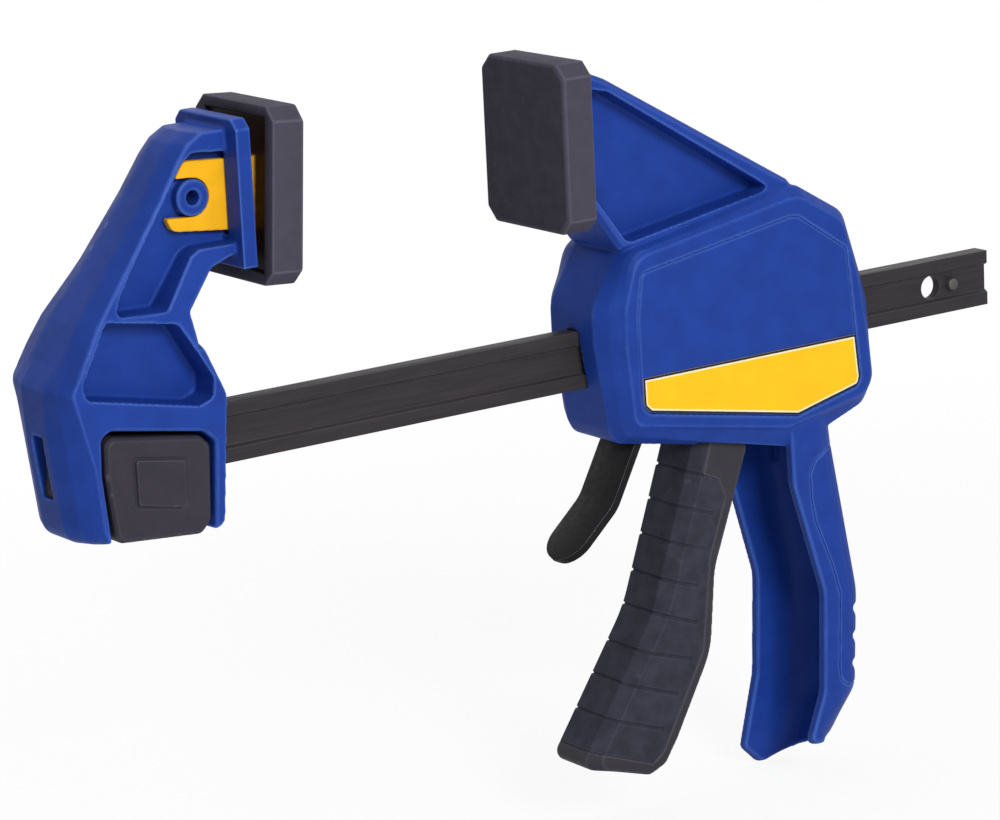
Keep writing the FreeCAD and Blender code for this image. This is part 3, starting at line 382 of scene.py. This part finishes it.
def bevelled(node, width, segments, body, slot, material, edge_highlight_material):
    """The node's own shape with its sharp edges cut and rounded, with painted highlights on the cut
    faces.
    """
    mesh = node_mesh(node)
    work = bmesh.new()
    work.from_mesh(mesh)
    bmesh.ops.remove_doubles(work, verts=work.verts, dist=merge_distance)
    bmesh.ops.dissolve_limit(work, angle_limit=math.radians(flat_deg), verts=work.verts,
                             edges=work.edges)
    sharp = [edge for edge in work.edges
             if edge.is_manifold and edge.calc_face_angle() > math.radians(bevel_from_deg)]
    for face in work.faces:
        face.material_index = 0
    bmesh.ops.bevel(work, geom=sharp, offset=width, offset_type="OFFSET", segments=segments,
                    profile=0.5, affect="EDGES", clamp_overlap=True, harden_normals=False, material=1)
    bmesh.ops.triangulate(work, faces=work.faces)
    work.to_mesh(mesh)
    work.free()
    for polygon in mesh.polygons:
        polygon.use_smooth = True
    mesh.set_sharp_from_angle(angle=math.radians(crease_from_deg))
    edged = [polygon.material_index for polygon in mesh.polygons]
    piece = new_piece(node + "_form", mesh, body, slot, material, edge_highlight_material)
    mesh.polygons.foreach_set("material_index", edged)
    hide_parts(node)
    return piece


def pressed_spring(node, travel, body, slot, material):
    """A spring drawn at the length it has when pressed, so that it never comes out of its wall."""
    mesh = node_mesh(node)
    places = [v.co.y for v in mesh.vertices]
    near = min(places)
    share = 1.0 - travel / (max(places) - near)
    for v in mesh.vertices:
        v.co.y = near + (v.co.y - near) * share
    piece = new_piece(node + "_form", mesh, body, slot, material)
    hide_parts(node)


def kept(node, material):
    """A frame piece that stays, with a better material."""
    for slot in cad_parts[node].material_slots:
        slot.material = material


def outer_outline(node, side):
    """Corners round the outer face of a flat film, in order, as X and Z."""
    work = bmesh.new()
    work.from_mesh(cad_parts[node].data)
    bmesh.ops.remove_doubles(work, verts=work.verts, dist=merge_distance)
    outer_y = max(side * v.co.y for v in work.verts)
    outer = {v for v in work.verts if abs(side * v.co.y - outer_y) < flat_tolerance}
    faces = [f for f in work.faces if all(v in outer for v in f.verts)]
    rim = [e for e in work.edges if sum(f in faces for f in e.link_faces) == 1
           and all(v in outer for v in e.verts)]
    neighbours = {}
    for edge in rim:
        first, second = edge.verts
        neighbours.setdefault(first, []).append(second)
        neighbours.setdefault(second, []).append(first)
    start = next(iter(neighbours))
    ring = [start]
    while True:
        options = [v for v in neighbours[ring[-1]] if v not in ring[-2:]]
        if not options or options[0] is start:
            break
        ring.append(options[0])
    points = [(v.co.x, v.co.z) for v in ring]
    work.free()
    area = sum(a[0] * b[1] - b[0] * a[1] for a, b in zip(points, points[1:] + points[:1]))
    if area < 0:
        points.reverse()
    return points, side * outer_y


def set_in(points, amount):
    """The outline moved inwards, corner by corner."""
    moved = []
    count = len(points)
    for i in range(count):
        before, here, after = (Vector(points[j % count]) for j in (i - 1, i, i + 1))
        first = (here - before).normalized()
        second = (after - here).normalized()
        inward = Vector((-first.y, first.x)) + Vector((-second.y, second.x))
        inward.normalize()
        bend = max(least_bend, inward.dot(Vector((-first.y, first.x))))
        moved.append(tuple(here + inward * (amount / bend)))
    return moved


def band_border(name, node, side, body):
    """Dark and cream lines printed round the blank band."""
    points, outer_y = outer_outline(node, side)
    lines = [points, set_in(points, band_outline_width),
             set_in(points, band_outline_width + band_cream_width)]
    top_y = outer_y + side * band_border_rise
    mesh = bpy.data.meshes.new(name)
    work = bmesh.new()
    rings = [[work.verts.new((x, top_y, z)) for x, z in line] for line in lines]
    skirts = [[work.verts.new((x, outer_y, z)) for x, z in line] for line in (lines[0], lines[2])]
    dark, cream = 0, 1
    strips = ((rings[0], rings[1], dark), (rings[1], rings[2], cream), (skirts[0], rings[0], dark),
              (rings[2], skirts[1], cream), (skirts[1], skirts[0], dark))
    count = len(points)
    for low, high, line_number in strips:
        for i in range(count):
            j = (i + 1) % count
            face = work.faces.new((low[i], low[j], high[j], high[i]))
            face.material_index = line_number
    bmesh.ops.recalc_face_normals(work, faces=work.faces)
    work.to_mesh(mesh)
    work.free()
    new_piece(name, mesh, body, "yellow_film", outline_film, cream_film)


# Pieces

moulded("fixed_jaw", voxel=0.50 * MM, soften=5, keep=0.25,
        body="bar_and_fixed_jaw", slot="blue_nylon", material=blue_nylon)
moulded("jaw_body", voxel=0.55 * MM, soften=5, keep=0.25,
        body="moving_jaw", slot="blue_nylon", material=blue_nylon)
for side_name, side_sign in (("near", -1), ("far", 1)):
    moulded("side_cover_" + side_name, voxel=0.35 * MM, soften=1, keep=0.25,
            body="moving_jaw", slot="blue_nylon", material=blue_nylon, growth=cover_growth)
    kept("label_band_" + side_name, yellow_film)
    band_border("band_border_" + side_name, "label_band_" + side_name, side_sign, "moving_jaw")
moulded("palm_grip", voxel=0.40 * MM, soften=3, keep=0.30,
        body="moving_jaw", slot="blue_soft", material=blue_soft)
moulded("trigger_core", voxel=0.45 * MM, soften=3, keep=0.30,
        body="trigger", slot="dark_nylon", material=dark_nylon)
moulded("trigger_grip", voxel=0.35 * MM, soften=1, keep=0.30,
        body="trigger", slot="grip_rubber", material=grip_rubber)
moulded("release_button", voxel=0.35 * MM, soften=5, keep=0.30,
        body="release_button", slot="dark_nylon", material=button_nylon)
moulded("pad_carrier", voxel=0.40 * MM, soften=3, keep=0.30,
        body="tilting_pad", slot="yellow_nylon", material=yellow_nylon)
bevelled("release_lever", width=lever_edge, segments=2, body="release_lever", slot="lever_steel",
         material=lever_steel, edge_highlight_material=lever_edge_highlight_steel)
fixed_pad = bevelled("fixed_pad", width=pad_edge, segments=3, body="tilting_pad", slot="black_rubber",
                     material=pad_rubber, edge_highlight_material=pad_edge_highlight_rubber)
moving_pad = bevelled("moving_pad", width=pad_edge, segments=3, body="moving_jaw", slot="black_rubber",
                      material=pad_rubber, edge_highlight_material=pad_edge_highlight_rubber)
bevelled("bar", width=bar_edge, segments=2, body="bar_and_fixed_jaw", slot="bar_steel",
         material=bar_steel, edge_highlight_material=bar_edge_highlight_steel)
kept("stop_pin", pin_steel)
for plain_node in ("latch_pin", "trigger_pin", "drive_plate_front", "drive_plate_rear",
                   "drive_spring", "brake_spring"):
    kept(plain_node, bright_steel)
pressed_spring("button_spring", travel=button_travel, body="release_button", slot="spring_steel",
               material=bright_steel)


# Stage, light and camera


def make_floor():
    """Pale floor at the foot of the clamp, whiter the further it is from it."""
    mesh = bpy.data.meshes.new("floor")
    low = cad_low.z - floor_gap
    signs = ((-1, -1), (1, -1), (1, 1), (-1, 1))
    corners = [(x * floor_reach, y * floor_reach, low) for x, y in signs]
    mesh.from_pydata(corners, [], [(0, 1, 2, 3)])
    floor = bpy.data.objects.new("floor", mesh)
    scene.collection.objects.link(floor)
    material, tree, shader = start_material("floor_white", floor_colour, floor_roughness)
    glow = tree.nodes.new("ShaderNodeEmission")
    glow.inputs["Strength"].default_value = 1.0
    blend = tree.nodes.new("ShaderNodeMixShader")
    rays = tree.nodes.new("ShaderNodeLightPath")
    seen = tree.nodes.new("ShaderNodeMath")
    seen.operation = "MULTIPLY"
    tree.links.new(rays.outputs["Is Camera Ray"], seen.inputs[0])
    reach = tree.nodes.new("ShaderNodeVectorMath")
    reach.operation = "LENGTH"
    tree.links.new(place_node(tree), reach.inputs[0])
    whiteness = spread_node(tree, reach.outputs["Value"], floor_fade, floor_whiteness)
    tree.links.new(whiteness, seen.inputs[1])
    tree.links.new(seen.outputs["Value"], blend.inputs["Fac"])
    tree.links.new(shader.outputs["BSDF"], blend.inputs[1])
    tree.links.new(glow.outputs["Emission"], blend.inputs[2])
    tree.links.new(blend.outputs["Shader"], tree.nodes["Material Output"].inputs["Surface"])
    mesh.materials.append(material)


def make_world():
    """White where the camera, a reflection or clear plastic sees it, and softer as light."""
    world = bpy.data.worlds.new("studio")
    scene.world = world
    world.use_nodes = True
    tree = world.node_tree
    seen = tree.nodes["Background"]
    seen.inputs["Strength"].default_value = 1.0
    seen.inputs["Color"].default_value = white
    light = tree.nodes.new("ShaderNodeBackground")
    light.inputs["Strength"].default_value = world_light
    light.inputs["Color"].default_value = white
    rays = tree.nodes.new("ShaderNodeLightPath")
    any_seen = rays.outputs["Is Camera Ray"]
    for other in ("Is Glossy Ray", "Is Transmission Ray"):
        most = tree.nodes.new("ShaderNodeMath")
        most.operation = "MAXIMUM"
        tree.links.new(any_seen, most.inputs[0])
        tree.links.new(rays.outputs[other], most.inputs[1])
        any_seen = most.outputs["Value"]
    blend = tree.nodes.new("ShaderNodeMixShader")
    tree.links.new(any_seen, blend.inputs["Fac"])
    tree.links.new(light.outputs["Background"], blend.inputs[1])
    tree.links.new(seen.outputs["Background"], blend.inputs[2])
    tree.links.new(blend.outputs["Shader"], tree.nodes["World Output"].inputs["Surface"])


def soft_box(name, place, target, size, watts):
    """A square lamp that faces its target."""
    lamp = bpy.data.lights.new(name, "AREA")
    lamp.shape = "SQUARE"
    lamp.size = size
    lamp.energy = watts
    holder = bpy.data.objects.new(name, lamp)
    scene.collection.objects.link(holder)
    holder.location = place
    holder.rotation_mode = "QUATERNION"
    holder.rotation_quaternion = (Vector(target) - Vector(place)).to_track_quat("-Z", "Y")


def make_camera():
    """The camera of the photograph, at its fitted place and angles."""
    azimuth, elevation, roll = (math.radians(a) for a in
                                (camera_azimuth_deg, camera_elevation_deg, camera_roll_deg))
    back = Vector((-math.sin(azimuth) * math.cos(elevation),
                   -math.cos(azimuth) * math.cos(elevation), math.sin(elevation)))
    level = (-back).cross(Vector((0.0, 0.0, 1.0))).normalized()
    upright = level.cross(-back)
    right = math.cos(roll) * level + math.sin(roll) * upright
    up = math.cos(roll) * upright - math.sin(roll) * level
    data = bpy.data.cameras.new("camera")
    data.sensor_width = sensor_mm
    data.lens = lens_mm
    data.clip_end = camera_reach
    camera = bpy.data.objects.new("camera", data)
    scene.collection.objects.link(camera)
    matrix = Matrix((right, up, back)).transposed().to_4x4()
    matrix.translation = Vector(camera_place)
    camera.matrix_world = matrix
    scene.camera = camera


make_floor()
make_world()
middle = (cad_low + cad_high) / 2
soft_box("key", place=(-0.50, -1.94, 0.98), target=middle, size=0.7, watts=36.0)
soft_box("top", place=(-0.2, 0.2, 1.9), target=middle, size=1.0, watts=12.0)
make_camera()
scene.view_settings.view_transform = "Standard"
